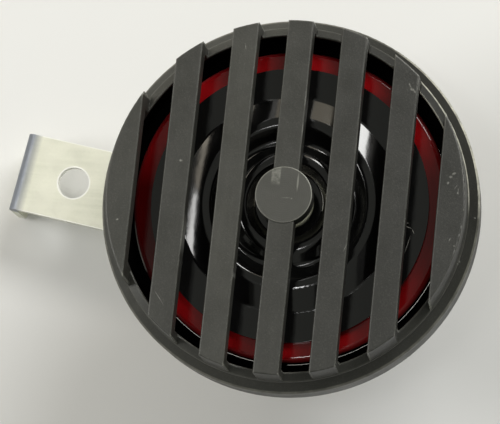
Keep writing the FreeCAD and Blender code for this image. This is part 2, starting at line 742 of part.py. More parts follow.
def make_contacts():
    near = "stack_reach"
    far = "(stack_reach + stack_depth)"
    half = "stack_width / 2"
    middle = "stack_reach + stack_depth / 2"
    hole = "rivet_dia / 2 + rivet_play"
    holes = (("-rivet_spread", middle, hole), ("rivet_spread", middle, hole))
    square = stack_outline(near, far, half)
    plate("contact_block", square, holes, shoulder_floor, "block_height")
    plate("middle_insulator", square, holes, spring_front, "contact_gap")
    plate("top_insulator", square, holes, anvil_front, "cap_sheet")
    anvil_half = "anvil_width / 2"
    plate("fixed_contact_arm", (
        (f"-{half}", far),
        (f"-{half}", near),
        (f"-{anvil_half}", near),
        (f"-{anvil_half}", "anvil_reach"),
        (anvil_half, "anvil_reach"),
        (anvil_half, near),
        ("anvil_wing", near),
        ("anvil_wing", f"{near} + wing_depth"),
        (half, f"{near} + wing_depth"),
        (half, far),
    ), holes, anvil_under, "anvil_sheet")
    spring_half = "spring_width / 2"
    body = new_body("moving_contact_spring")
    blank = new_sketch(body, "blank", "XY_Plane", spring_under)
    draw_path(blank, (
        (f"-{half}", far),
        (f"-{half}", near),
        (f"-{spring_half}", near),
        (f"-{spring_half}", "tip_reach"),
        (spring_half, "tip_reach"),
        (spring_half, near),
        (half, near),
        (half, far),
    ), True)
    for across, along, radius in holes:
        draw_circle(blank, across, along, radius)
    pad(body, "strip", blank, "spring_sheet")
    tip = new_sketch(body, "tip_outline", "XY_Plane", spring_under)
    draw_path(tip, stack_outline("tip_reach", "tip_reach + spring_sheet", spring_half), True)
    striker_back = f"({armature_under} + armature_height - striker_height)"
    pad(body, "tip", tip, f"{striker_back} - tip_gap - {spring_under}")
    finish_piece(body, "moving_contact_spring")
    lower = cylinder("lower_point", "point_dia / 2", "contact_gap / 2", spring_front,
                     "0", "point_reach")
    upper = cylinder("upper_point", "point_dia / 2", "contact_gap / 2",
                     f"{spring_front} + contact_gap / 2", "0", "point_reach")
    points = doc.addObject("Part::Compound", "contact_points")
    points.Links = [lower, upper]
    finish_piece(points, "contact_points")
    spots = (("-rivet_spread", middle), ("rivet_spread", middle))
    rivets("contact_rivets", spots, shoulder_level, stack_front)


def shift_on_axis(piece, across, along):
    bind(piece, "Placement.Base.x", f"{axis_across} + {across}")
    bind(piece, "Placement.Base.y", f"{axis_along} + {along}")


def make_adjuster():
    collar_back = f"({shoulder_level} - bush_collar_height)"
    screw_back = f"({collar_back} - adjuster_tail)"
    radius = "adjuster_dia / 2"
    bush = turned("adjuster_bush", (
        (radius, collar_back),
        ("bush_collar / 2", collar_back),
        ("bush_collar / 2", shoulder_level),
        ("bush_dia / 2", shoulder_level),
        ("bush_dia / 2", f"{collar_back} + bush_height"),
        (radius, f"{collar_back} + bush_height"),
    ))
    shift_on_axis(bush, "adjuster_offset", "adjuster_reach")
    body = new_body("adjusting_screw")
    revolve(body, "shank", (
        ("0", screw_back),
        (radius, screw_back),
        (radius, f"{anvil_under} - {radius}"),
        (f"{radius} * 0.4", anvil_under),
        ("0", anvil_under),
    ))
    slot = new_sketch(body, "slot_outline", "XY_Plane", screw_back)
    draw_path(slot, stack_outline("-adjuster_dia", "adjuster_dia", "adjuster_slot / 2"), True)
    pocket(body, "slot", slot, "adjuster_slot * 1.5", upwards=True)
    finish_piece(body, "adjusting_screw")
    shift_on_axis(body, "adjuster_offset", "adjuster_reach")


def make_terminals():
    half = "terminal_width / 2"
    near = "-terminal_reach"
    far = "(-terminal_reach - terminal_depth)"
    rivet_row = "-" + blade_rivet_reach
    hole = "rivet_dia / 2 + rivet_play"
    holes = (("-blade_spread", rivet_row, hole), ("blade_spread", rivet_row, hole))
    body = new_body("terminal_block")
    base = new_sketch(body, "base", "XY_Plane", terminal_back)
    draw_path(base, (
        (f"-{half}", far, "terminal_round"),
        (half, far, "terminal_round"),
        (half, near, "terminal_round"),
        (f"-{half}", near, "terminal_round"),
    ), True)
    for across, along, radius in holes:
        draw_circle(base, across, along, radius)
    pad(body, "block", base, "terminal_height")
    collars = new_sketch(body, "collars", "XY_Plane", shoulder_level)
    for across, along, radius in holes:
        draw_circle(collars, across, along, "collar_dia / 2 - rivet_play")
        draw_circle(collars, across, along, radius)
    pad(body, "collar_pair", collars, "housing_sheet")
    finish_piece(body, "terminal_block")
    reach = "(rivet_head_dia / 2 + pad_margin)"
    across = f"(blade_spread + {reach})"
    plate("terminal_insulator", (
        (f"-{across}", f"{rivet_row} - {reach}", "terminal_round"),
        (across, f"{rivet_row} - {reach}", "terminal_round"),
        (across, f"{rivet_row} + {reach}"),
        (f"-{across}", f"{rivet_row} + {reach}"),
    ), holes, shoulder_floor, "cap_sheet")
    foot_front = terminal_back
    foot_back = f"({terminal_back} - blade_sheet)"
    foot_end = f"({rivet_row} + {reach})"
    blade_face = f"({rivet_row} - rivet_head_dia / 2 - blade_play - blade_sheet)"
    for label, turn in (("left_terminal_blade", "-"), ("right_terminal_blade", "")):
        blade = new_body(label)
        side = new_sketch(blade, "side_view", "YZ_Plane")
        draw_path(side, (
            (foot_end, foot_front),
            (blade_face, foot_front, "blade_bend"),
            (blade_face, f"{terminal_back} - blade_length"),
            (f"{blade_face} + blade_sheet", f"{terminal_back} - blade_length"),
            (f"{blade_face} + blade_sheet", foot_back, "blade_bend - blade_sheet"),
            (foot_end, foot_back),
        ), True)
        pad(blade, "strip", side, "blade_width", middle=True)
        rivet_hole = new_sketch(blade, "rivet_hole", "XY_Plane", foot_front)
        draw_circle(rivet_hole, "0", rivet_row, hole)
        pocket(blade, "hole", rivet_hole, "blade_sheet * 2")
        catch = new_sketch(blade, "catch_outline", "XZ_Plane")
        draw_circle(catch, "0", f"{terminal_back} - blade_catch", "blade_hole_dia / 2")
        pocket(blade, "catch", catch, "terminal_reach * 4", middle=True)
        doc.recompute()
        tip_level = amount(f"{terminal_back} - blade_length")
        tip_row = amount(f"{blade_face} + blade_sheet / 2")
        tips = [FreeCAD.Vector(sign * amount("blade_width / 2"), tip_row, tip_level)
                for sign in (-1, 1)]
        dress_edges(blade, "PartDesign::Chamfer", "lead_in", edge_names(blade.Shape, tips),
                    "Size", "blade_chamfer")
        finish_piece(blade, label)
        bind(blade, "Placement.Base.x", f"{axis_across} + {turn}blade_spread")
    spots = (("-blade_spread", rivet_row), ("blade_spread", rivet_row))
    rivets("terminal_rivets", spots, foot_back, f"({shoulder_floor} + cap_sheet)")


def make_grille():
    # One moulding: the bars with the boss, the rim with its skirt, and the feet and clips behind.
    body = new_body("front_grille")
    depth = "(ring_drop + ring_slope + bar_root)"
    face = new_sketch(body, "face_outline", "XY_Plane", front_level)
    draw_circle(face, "0", "0", bar_end)
    block = pad(body, "face", face, depth, downwards=True)
    bind(block, "TaperAngle", "bar_draft")
    opening = new_sketch(body, "opening_outline", "XY_Plane", f"({front_level} - {depth})")
    draw_circle(opening, "0", "0", ring_bore)
    pocket(body, "opening", opening, f"{depth} - bar_depth", upwards=True)
    gap_half = "(bar_pitch - bar_width) / 2"
    gap_middle = f"(-bar_pitch * {(bar_count - 2) / 2})"
    gap = new_sketch(body, "gap_outline", "XY_Plane", front_level)
    draw_path(gap, (
        (f"{gap_middle} - {gap_half}", f"-{rim_edge}"),
        (f"{gap_middle} + {gap_half}", f"-{rim_edge}"),
        (f"{gap_middle} + {gap_half}", rim_edge),
        (f"{gap_middle} - {gap_half}", rim_edge),
    ), True)
    first_gap = pocket(body, "gap", gap, "ring_drop + ring_slope")
    row = body.newObject("PartDesign::LinearPattern", "gaps")
    row.Originals = [first_gap]
    row.Direction = (gap, ["H_Axis"])
    row.Occurrences = bar_count - 1
    bind(row, "Length", f"bar_pitch * {bar_count - 2}")
    body.Tip = row
    doc.recompute()
    fillet(body, "bar_edges", edges_at_level(body.Shape, amount(front_level)), "bar_round")
    boss_front = f"({front_level} + boss_proud)"
    boss = new_sketch(body, "boss_outline", "XY_Plane", boss_front)
    draw_circle(boss, "0", "0", "boss_dia / 2")
    pad(body, "boss", boss, "boss_height", downwards=True)
    doc.recompute()
    fillet(body, "boss_edge", edges_at_level(body.Shape, amount(boss_front)), "boss_proud * 0.6")
    skirt_bore = f"({rim_edge} - skirt_wall)"
    channel_side = f"({ring_bore} + channel_wall)"
    throat = "(clamp_dia / 2 + clip_play)"
    revolve(body, "rim", (
        (ring_bore, ring_level, "ring_round"),
        (ring_edge, f"{ring_level} - ring_slope", "ring_round"),
        (ring_edge, flange_level),
        (rim_edge, edge_level, "rim_round"),
        (rim_edge, skirt_end),
        (skirt_bore, skirt_end),
        (skirt_bore, f"{edge_level} - skirt_wall"),
        (channel_side, f"{edge_level} - skirt_wall"),
        (channel_side, clamp_back),
        (throat, clamp_back),
        (throat, f"{clamp_back} + channel_floor"),
        (ring_bore, f"{clamp_back} + channel_floor"),
    ))
    feet = new_sketch(body, "feet_outline", "XY_Plane", clamp_front)
    inner_end = "(clamp_dia / 2 - foot_reach)"
    outer_end = f"({ring_bore} + channel_wall / 2)"
    for step in (-1, 0, 1):
        across = f"(bar_pitch * {step})"
        near = f"sqrt({inner_end} ^ 2 - {across} ^ 2)"
        far = f"sqrt({outer_end} ^ 2 - {across} ^ 2)"
        for turn in ("", "-"):
            draw_path(feet, (
                (f"{across} - foot_width / 2", f"{turn}{near}"),
                (f"{across} + foot_width / 2", f"{turn}{near}"),
                (f"{across} + foot_width / 2", f"{turn}{far}"),
                (f"{across} - foot_width / 2", f"{turn}{far}"),
            ), True)
    pad(body, "feet", feet, "front_stand - bar_depth")
    grip = "(clamp_dia / 2 - clip_grip)"
    mouth = "(clamp_dia / 2 + clip_play * 3)"
    under = f"({clamp_back} - clip_play)"
    web = f"({clamp_back} + channel_floor / 2)"
    clip = new_sketch(body, "clip_section", "XZ_Plane")
    draw_path(clip, (
        (grip, under),
        (mouth, under),
        (mouth, web),
        (outer_end, web),
        (outer_end, f"{under} - clip_jaw"),
        (f"{grip} + clip_lead", f"{under} - clip_jaw"),
        (grip, f"{under} - clip_jaw + clip_lead"),
    ), True)
    first_clip = pad(body, "clip", clip, "clip_width", middle=True)
    ring = body.newObject("PartDesign::PolarPattern", "clips")
    ring.Originals = [first_clip]
    ring.Axis = (clip, ["V_Axis"])
    ring.Angle = 360
    ring.Occurrences = clip_count
    body.Tip = ring
    return finish_piece(body, "front_grille")


make_bracket()
make_lock_washer()
make_housing()
make_clamp_ring()
make_gasket("lower_gasket", lower_gasket_under)
make_diaphragm()
make_gasket("upper_gasket", diaphragm_front)
make_tone_disc()
make_spindle()
make_magnet()
make_contacts()
make_adjuster()
make_terminals()
make_grille()

doc.recompute()
faults = [item.Label for item in doc.Objects
          if "Invalid" in item.State or "Error" in item.State]
faults += [piece.Label for piece in pieces if piece.Shape.isNull() or not piece.Shape.isValid()]
if faults:
    raise RuntimeError("failed: " + ", ".join(faults))

os.makedirs("parts", exist_ok=True)
for piece in pieces:
    piece.Shape.exportStep(f"parts/{piece.Label}.step")
    box = piece.Shape.BoundBox
    print(f"{piece.Label:24s} solids {len(piece.Shape.Solids)} volume {piece.Shape.Volume:9.1f} "
          f"z {box.ZMin:6.2f} to {box.ZMax:6.2f} x {box.XMin:6.2f} to {box.XMax:6.2f}")
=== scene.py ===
import math
import bpy
import bmesh
from mathutils import Matrix, Vector


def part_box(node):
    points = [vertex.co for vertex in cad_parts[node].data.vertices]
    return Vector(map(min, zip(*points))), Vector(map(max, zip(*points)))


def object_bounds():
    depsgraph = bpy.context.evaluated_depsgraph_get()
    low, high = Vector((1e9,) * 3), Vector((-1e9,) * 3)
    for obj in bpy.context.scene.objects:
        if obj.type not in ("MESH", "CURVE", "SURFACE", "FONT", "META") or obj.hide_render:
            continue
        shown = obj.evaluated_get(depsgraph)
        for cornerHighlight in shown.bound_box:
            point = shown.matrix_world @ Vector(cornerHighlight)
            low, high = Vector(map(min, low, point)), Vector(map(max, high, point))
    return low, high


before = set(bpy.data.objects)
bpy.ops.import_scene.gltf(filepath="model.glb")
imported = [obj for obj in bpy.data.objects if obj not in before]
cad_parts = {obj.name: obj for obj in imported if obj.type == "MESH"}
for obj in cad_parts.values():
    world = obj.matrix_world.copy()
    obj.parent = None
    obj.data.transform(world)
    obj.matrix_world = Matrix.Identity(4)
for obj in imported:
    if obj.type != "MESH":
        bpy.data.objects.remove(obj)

print("frame loaded:", len(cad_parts), "pieces")

cadLow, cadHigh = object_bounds()
bossProud = 0.00025  # the boss stands this much in front of the bars
grilleLow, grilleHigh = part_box("front_grille")
hornAxis = (grilleLow + grilleHigh) / 2  # the horn's own axis, across the bars and along them
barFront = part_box("front_grille")[1].z - bossProud
strapTurn = math.radians(8.6)  # from the horn's across direction
markReach = 0.06  # a mark shows on all that lies this far before or behind the bars' front
lineSoftness = 0.0001  # over which thin lines fade at their sides


# a few short ways to wire a material: sizes are in metres

def newMaterial(name):
    material = bpy.data.materials.new(name)
    material.use_nodes = True
    tree = material.node_tree
    shader = tree.nodes["Principled BSDF"]
    return material, tree, shader


def node(tree, kind, settings=None, values=None):
    made = tree.nodes.new(kind)
    for key, value in (settings or {}).items():
        setattr(made, key, value)
    for key, value in (values or {}).items():
        made.inputs[key].default_value = value
    return made


def link(tree, source, target):
    tree.links.new(source, target)


def feed(tree, value, target):
    # a node's output is linked, a number or a colour is written in
    if hasattr(value, "is_output"):
        link(tree, value, target)
    elif isinstance(value, tuple):
        target.default_value = (*value, 1)
    else:
        target.default_value = value


def setShader(shader, settings):
    names = {
        "colour": "Base Color", "metal": "Metallic", "rough": "Roughness", "coat": "Coat Weight",
        "coatRough": "Coat Roughness", "specular": "Specular IOR Level",
    }
    for key, value in settings.items():
        shader.inputs[names[key]].default_value = (*value, 1) if key == "colour" else value


def places(tree, scale=(1, 1, 1), turn=(0, 0, 0)):
    coordinates = node(tree, "ShaderNodeTexCoord")
    mapping = node(tree, "ShaderNodeMapping", values={"Scale": scale, "Rotation": turn})
    link(tree, coordinates.outputs["Object"], mapping.inputs["Vector"])
    return mapping.outputs["Vector"]


def noise(tree, size, detail=3.0, rough=0.5, stretch=(1, 1, 1), turn=(0, 0, 0)):
    texture = node(tree, "ShaderNodeTexNoise", values={
        "Scale": 1 / size, "Detail": detail, "Roughness": rough})
    link(tree, places(tree, stretch, turn), texture.inputs["Vector"])
    return texture.outputs["Fac"]


def span(tree, value, low, high, newLow, newHigh):
    made = node(tree, "ShaderNodeMapRange", values={
        "From Min": low, "From Max": high, "To Min": newLow, "To Max": newHigh})
    link(tree, value, made.inputs["Value"])
    return made.outputs["Result"]


def blendColours(tree, amount, first, second):
    mix = node(tree, "ShaderNodeMix", {"data_type": "RGBA"})
    for value, place in ((amount, 0), (first, 6), (second, 7)):
        feed(tree, value, mix.inputs[place])
    return mix.outputs[2]


def compute(tree, kind, first, second=0.0):
    made = node(tree, "ShaderNodeMath", {"operation": kind})
    feed(tree, first, made.inputs[0])
    feed(tree, second, made.inputs[1])
    return made.outputs[0]


def times(tree, first, *others):
    product = first
    for other in others:
        product = compute(tree, "MULTIPLY", product, other)
    return product


def largest(tree, first, second):
    return compute(tree, "MAXIMUM", first, second)


def distance(tree, first, second):
    squares = compute(tree, "ADD", times(tree, first, first), times(tree, second, second))
    return compute(tree, "SQRT", squares)


def within(tree, value, low, high, soft):
    rising = span(tree, value, low - soft, low, 0.0, 1.0)
    return times(tree, rising, span(tree, value, high, high + soft, 1.0, 0.0))


def bumps(tree, shader, layers, coat=False, rounding=0.0):
    # each layer is a height, its strength and its depth
    last = None
    if rounding:  # edges catch the light as if rounded by this much
        last = node(tree, "ShaderNodeBevel", {"samples": 6}, {"Radius": rounding}).outputs["Normal"]
    for height, strength, depth in layers:
        bump = node(tree, "ShaderNodeBump", values={"Strength": strength, "Distance": depth})
        link(tree, height, bump.inputs["Height"])
        if last is not None:
            link(tree, last, bump.inputs["Normal"])
        last = bump.outputs["Normal"]
    link(tree, last, shader.inputs["Normal"])
    if coat:
        link(tree, last, shader.inputs["Coat Normal"])


def edges(tree, radius, low, high):
    # where the surface turns away within the radius
    bevel = node(tree, "ShaderNodeBevel", {"samples": 6}, {"Radius": radius})
    geometry = node(tree, "ShaderNodeNewGeometry")
    dot = node(tree, "ShaderNodeVectorMath", {"operation": "DOT_PRODUCT"})
    link(tree, bevel.outputs["Normal"], dot.inputs[0])
    link(tree, geometry.outputs["Normal"], dot.inputs[1])
    return span(tree, dot.outputs["Value"], 1 - low, 1 - high, 0.0, 1.0)


def rubbedEdges(tree, rub):
    patches = span(tree, noise(tree, 0.003, 3, 0.6), rub["broken"], 0.66, 0.0, rub["strength"])
    return times(tree, edges(tree, rub["reach"], rub["low"], rub["high"]), patches)


def unevenRough(tree, look, rough):
    low, high = look["roughSpread"]
    return span(tree, noise(tree, *look["roughNoise"]), 0.3, 0.7, rough + low, rough + high)


def ridges(tree, reach, low, high):
    # rounded outer edges: inward rays soon leave the piece there
    inside = node(tree, "ShaderNodeAmbientOcclusion",
                  {"inside": True, "only_local": True, "samples": 8}, {"Distance": reach})
    return span(tree, inside.outputs["AO"], 1 - low, 1 - high, 0.0, 1.0)


def specks(tree, size, share, reach):
    # ragged dots in a share of the cells; reach is a dot's size as a part of its cell
    cells = node(tree, "ShaderNodeTexVoronoi", values={"Scale": 1 / size, "Randomness": 1.0})
    ragged = node(tree, "ShaderNodeTexNoise", values={"Scale": 6 / size, "Detail": 2.0})
    place = places(tree)
    link(tree, place, ragged.inputs["Vector"])
    shaken = node(tree, "ShaderNodeVectorMath", {"operation": "MULTIPLY_ADD"})
    link(tree, ragged.outputs["Color"], shaken.inputs[0])
    shaken.inputs[1].default_value = (size * 0.22,) * 3
    link(tree, place, shaken.inputs[2])
    link(tree, shaken.outputs["Vector"], cells.inputs["Vector"])
    picked = compute(tree, "GREATER_THAN", cells.outputs["Color"], 1 - share)
    return times(tree, picked, span(tree, cells.outputs["Distance"], reach, reach * 0.6, 0.0, 1.0))


def fromAxis(tree):
    # distance from the horn's axis, height, and places across the bars and along them
    coordinates = node(tree, "ShaderNodeTexCoord")
    parts = node(tree, "ShaderNodeSeparateXYZ")
    link(tree, coordinates.outputs["Object"], parts.inputs["Vector"])
    across = compute(tree, "SUBTRACT", parts.outputs["X"], hornAxis.x)
    along = compute(tree, "SUBTRACT", parts.outputs["Y"], hornAxis.y)
    return distance(tree, across, along), parts.outputs["Z"], across, along


def towards(tree, across, along, radius, way):
    # 1 straight that way from the axis, -1 straight away from it
    reached = compute(tree, "ADD", times(tree, across, way[0]), times(tree, along, way[1]))
    return compute(tree, "DIVIDE", reached, radius)


def mark(tree, across, along, length, width, turn=0.0):
    # a small worn spot or scratch: mm and degrees, from the middle of the boss
    coordinates = node(tree, "ShaderNodeTexCoord")
    mapping = node(tree, "ShaderNodeMapping", {"vector_type": "TEXTURE"}, {
        "Location": (hornAxis.x + across / 1000, hornAxis.y + along / 1000, barFront),
        "Rotation": (0, 0, math.radians(turn)),
        "Scale": (length / 1000, width / 1000, markReach)})
    link(tree, coordinates.outputs["Object"], mapping.inputs["Vector"])
    size = node(tree, "ShaderNodeVectorMath", {"operation": "LENGTH"})
    link(tree, mapping.outputs["Vector"], size.inputs[0])
    return span(tree, size.outputs["Value"], 1.0, 0.45, 0.0, 1.0)


# the grille: satin moulded plastic with a fine grain, rubbed edges, small marks and a paler boss, with painted
# shade on the bars, the rim and the channel, and painted highlights on edges, rim lines and the boss's lip
grilleLook = {
    "colour": (0.0275, 0.0275, 0.0232),
    "rough": 0.43,
    "specular": 0.5,
    "faded": (0.047, 0.047, 0.040),
    "cloudSize": 0.016,
    "streakSize": 0.0016,
    "mottle": (0.15, 0.15, 0.13),
    "mottleSize": 0.0006,
    "mottleStrength": 0.32,
    "roughNoise": (0.007, 3, 0.6),  # size, detail and roughness of the noise
    "roughSpread": (-0.06, 0.07),
    "grain": (0.25, 0.0002),  # strength and depth of the relief
    "grainSize": 0.00042,
    "wave": (0.25, 0.0006),
    "waveSize": 0.02,
    "rounding": 0.0003,
    # painted shade: how much darker each bar is, from the left, and the rim from its left to its right
    "barShades": (0.0, 0.30, 0.0, 0.30, 0.55, 0.65, 0.70),
    "barsReach": 0.05005,  # half of seven pitches
    "barDepth": 0.0055,
    "rimShade": 0.26,
    "rimShadeFrom": -0.018,
    "rimShadeTo": 0.030,
    # the dark tone for the painted shade on the bars and rim, and for the dark smears
    "darkTone": (0.010, 0.010, 0.009),
    "smearStrength": 0.5,
    # the boss, turned in fine rings, with a smudge and a painted highlight on its lip
    "boss": (0.062, 0.062, 0.0545),
    "bossRadius": 0.0074,
    "bossMargin": 0.0002,
    "bossCloudSize": 0.0028,
    "turnedPitch": 0.00055,
    "smudge": (0.21, 0.21, 0.185),
    "smudgeStrength": 0.7,
    "smudgeAcross": (-0.0034, -0.0014, 0.0003),  # from, to and softness
    "smudgeAlong": (0.0030, 0.0072, 0.0007),
    "smudgeSize": 0.0011,
    "smudgeLine": (3.4, 3.6, 0.3, 2.8),
    "lip": (0.10, 0.50),  # painted highlight, weak away from the upper right and strong straight towards it
    "lipFrom": 0.0003,  # inside the boss's radius
    "lipTo": 0.0001,
    # rubbed edges, brightened by painted highlights; the same colour paints the boss lip's highlight
    "edge": (0.42, 0.42, 0.37),
    "edgeRough": 0.20,
    "edgeReach": 0.0005,
    "edgeDepth": 0.0009,  # the bars' edges are rubbed down to this depth
    "wearSize": 0.003,
    "cornerWay": (0.866, 0.5),  # the upper right, towards the light: the painted highlights and the rim's painted shade are strongest there
    "cornerSpan": (0.86, 0.95),
    "cornerStrength": 0.6,
    "highlightWay": (0.87, 0.5, 0.0),  # sides that face this way get the most painted highlight
    "highlightStrength": (0.22, 0.62),
    "rimRadius": 0.0438,
    "rimHighlight": (0.55, 0.54, 0.46),
    "rimHighlightLines": (  # painted highlight lines: lowest and highest radius, depth from and to, share of it away from the upper right
        (0.0448, 0.04505, 0.0080, 0.0095, 0.0),
        (0.0470, 0.04735, 0.0094, 0.0110, 0.05),
        (0.0495, 0.0502, 0.0100, 0.0140, 0.22),
    ),
    # painted shade on the rim's face at its upper right, and painted shade in the channel round the clamp ring
    "shade": (0.008, 0.008, 0.007),
    "shadeDepth": 0.006,
    "shadeStrength": 0.45,
    "channelRadius": 0.0452,
    "channelHeight": 0.0100,
    "channelFade": (0.0003, 0.0004),  # sideways and upwards
    "channelShade": (0.002, 0.002, 0.002),
    # dust, worn spots and scratches, and dark smears:
    # across, along, length and width in mm and turn in degrees, from the middle of the boss
    "dust": (0.26, 0.26, 0.235),
    "speckSize": 0.0045,
    "speckShare": 0.05,
    "speckReach": 0.10,
    "raggedSize": 0.0005,
    "marks": (
        (43.2, 8.8, 0.7, 0.35, 30), (42.5, 7.9, 0.5, 0.4, 0), (41.9, 6.3, 0.45, 0.35, 60),
        (44.6, 4.0, 0.5, 0.2, 80), (43.6, -8.4, 0.6, 0.15, 70), (-42.7, -9.8, 0.5, 0.3, 20),
        (-29.4, -29.4, 2.4, 0.11, 128), (-27.7, 7.0, 0.5, 0.4, 0), (2.2, -0.9, 0.25, 0.22, 0),
        (0.8, -0.8, 1.5, 0.08, 4), (-13.9, 38.6, 1.0, 0.11, 100), (-11.0, -22.0, 2.2, 0.09, 84),
        (17.2, -12.5, 1.4, 0.10, 70), (-25.3, -12.0, 0.14, 6.0, 0), (3.2, 26.0, 0.14, 3.2, 0),
        (3.2, 17.6, 0.14, 2.4, 0), (31.0, 29.9, 0.9, 0.35, 130), (29.9, 31.2, 0.8, 0.2, 120),
        (30.4, 30.2, 0.5, 0.4, 0), (48.8, 0.1, 0.32, 0.28, 0), (49.0, 6.3, 0.22, 0.2, 0),
        (46.5, -0.3, 0.2, 0.2, 0), (44.9, -9.9, 0.28, 0.22, 0), (45.9, -11.9, 0.25, 0.3, 0),
        (45.6, -12.6, 0.18, 0.2, 0), (44.0, 5.4, 0.9, 0.08, 60), (44.7, 4.3, 1.1, 0.08, 95),
    ),
    "smears": (
        (29.3, -0.6, 4.2, 2.8, 70), (26.8, -5.4, 2.6, 1.6, 40), (39.8, 3.0, 1.8, 1.0, 30),
        (-28.6, 18.0, 1.4, 1.2, 0),
    ),
}


def paintedBarShades(tree, across):
    # painted shade: one flat tone for each bar
    look = grilleLook
    ramp = node(tree, "ShaderNodeValToRGB")
    stops = ramp.color_ramp.elements
    ramp.color_ramp.interpolation = "CONSTANT"
    stops.remove(stops[1])
    for number, shade in enumerate(look["barShades"]):
        stop = stops.new(number / len(look["barShades"])) if number else stops[0]
        stop.color = (shade, shade, shade, 1)
    link(tree, span(tree, across, -look["barsReach"], look["barsReach"], 0.0, 1.0), ramp.inputs["Fac"])
    return ramp.outputs["Color"]


def dressBoss(tree, base, onBoss, radius, across, along, toCorner):
    look = grilleLook
    turned = compute(tree, "SINE", times(tree, radius, 2 * math.pi / look["turnedPitch"]))
    turned = times(tree, span(tree, turned, -1.0, 1.0, 0.75, 1.0),
                   span(tree, noise(tree, look["bossCloudSize"], 4, 0.6), 0.3, 0.7, 0.74, 1.0))
    base = blendColours(tree, times(tree, onBoss, turned), base, look["boss"])
    smudge = times(tree, within(tree, across, *look["smudgeAcross"]),
                   within(tree, along, *look["smudgeAlong"]),
                   span(tree, noise(tree, look["smudgeSize"], 4, 0.7), 0.35, 0.65, 0.15, 1.0))
    smudge = times(tree, onBoss, largest(tree, smudge, mark(tree, *look["smudgeLine"])))
    base = blendColours(tree, times(tree, smudge, look["smudgeStrength"]), base, look["smudge"])
    # painted highlight on the boss's lip, strongest towards the upper right
    lip = span(tree, radius, look["bossRadius"] - look["lipFrom"],
               look["bossRadius"] - look["lipTo"], 0.0, 1.0)
    lip = times(tree, onBoss, lip, span(tree, toCorner, 0.3, 0.95, *look["lip"]))
    return blendColours(tree, lip, base, look["edge"])


